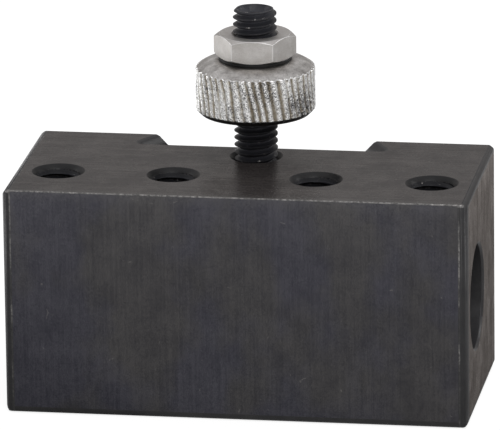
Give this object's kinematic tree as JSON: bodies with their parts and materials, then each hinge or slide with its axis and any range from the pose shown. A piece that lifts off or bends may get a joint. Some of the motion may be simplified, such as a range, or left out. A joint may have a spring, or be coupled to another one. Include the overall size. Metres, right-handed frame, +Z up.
{
  "type": "boring bar tool holder",
  "caption": "Steel boring-bar holder block with a dovetail slot, a round bar bore, clamping set screws and a knurled height wheel on a threaded stud.",
  "frame": {"origin": "centre of the block's bottom face", "axes": "+X along the bore, +Y towards the dovetail slot at the back, +Z up along the height stud"},
  "size_m": [0.0636, 0.0296, 0.0525],
  "materials": {
    "black_oxide_block": "ground and black-oxide coated, satin",
    "black_oxide_stud": "black-oxide thread, semi-gloss",
    "black_oxide_screw": "black-oxide alloy steel, semi-gloss",
    "knurled_steel": "bright turned and coarsely knurled",
    "black_washer": "black, satin",
    "nut_steel": "plain cold-formed steel, satin"
  },
  "bodies": {
    "holder": {"holder_body": "black_oxide_block", "height_stud": "black_oxide_stud"},
    "washer": {"stud_washer": "black_washer"},
    "wheel": {"thumb_wheel": "knurled_steel"},
    "nut": {"lock_nut": "nut_steel"},
    "set_screw_1_body": {"set_screw_1": "black_oxide_screw"},
    "set_screw_2_body": {"set_screw_2": "black_oxide_screw"},
    "set_screw_3_body": {"set_screw_3": "black_oxide_screw"},
    "set_screw_4_body": {"set_screw_4": "black_oxide_screw"}
  },
  "joints": [
    {"name": "wheel_travel", "type": "slide", "parent": "holder", "child": "washer", "axis": [0, 0, 1], "range_m": [-0.006, 0.003]},
    {"name": "wheel_turn", "type": "hinge", "parent": "washer", "child": "wheel", "pos_m": [0, 0.0057, 0.04095], "axis": [0, 0, 1], "range_deg": [-2161, 1081]},
    {"name": "nut_turn", "type": "hinge", "parent": "washer", "child": "nut", "pos_m": [0, 0.0057, 0.04755], "axis": [0, 0, 1], "range_deg": [-2161, 1081]},
    {"name": "set_screw_1_travel", "type": "slide", "parent": "holder", "child": "set_screw_1_body", "axis": [0, 0, -1], "range_m": [-0.002, 0.005]},
    {"name": "set_screw_2_travel", "type": "slide", "parent": "holder", "child": "set_screw_2_body", "axis": [0, 0, -1], "range_m": [-0.002, 0.005]},
    {"name": "set_screw_3_travel", "type": "slide", "parent": "holder", "child": "set_screw_3_body", "axis": [0, 0, -1], "range_m": [-0.002, 0.005]},
    {"name": "set_screw_4_travel", "type": "slide", "parent": "holder", "child": "set_screw_4_body", "axis": [0, 0, -1], "range_m": [-0.002, 0.005]}
  ],
  "couplings": [
    {"joint": "wheel_turn", "follows": "wheel_travel", "rad_per_m": 6283.2},
    {"joint": "nut_turn", "follows": "wheel_travel", "rad_per_m": 6283.2}
  ]
}
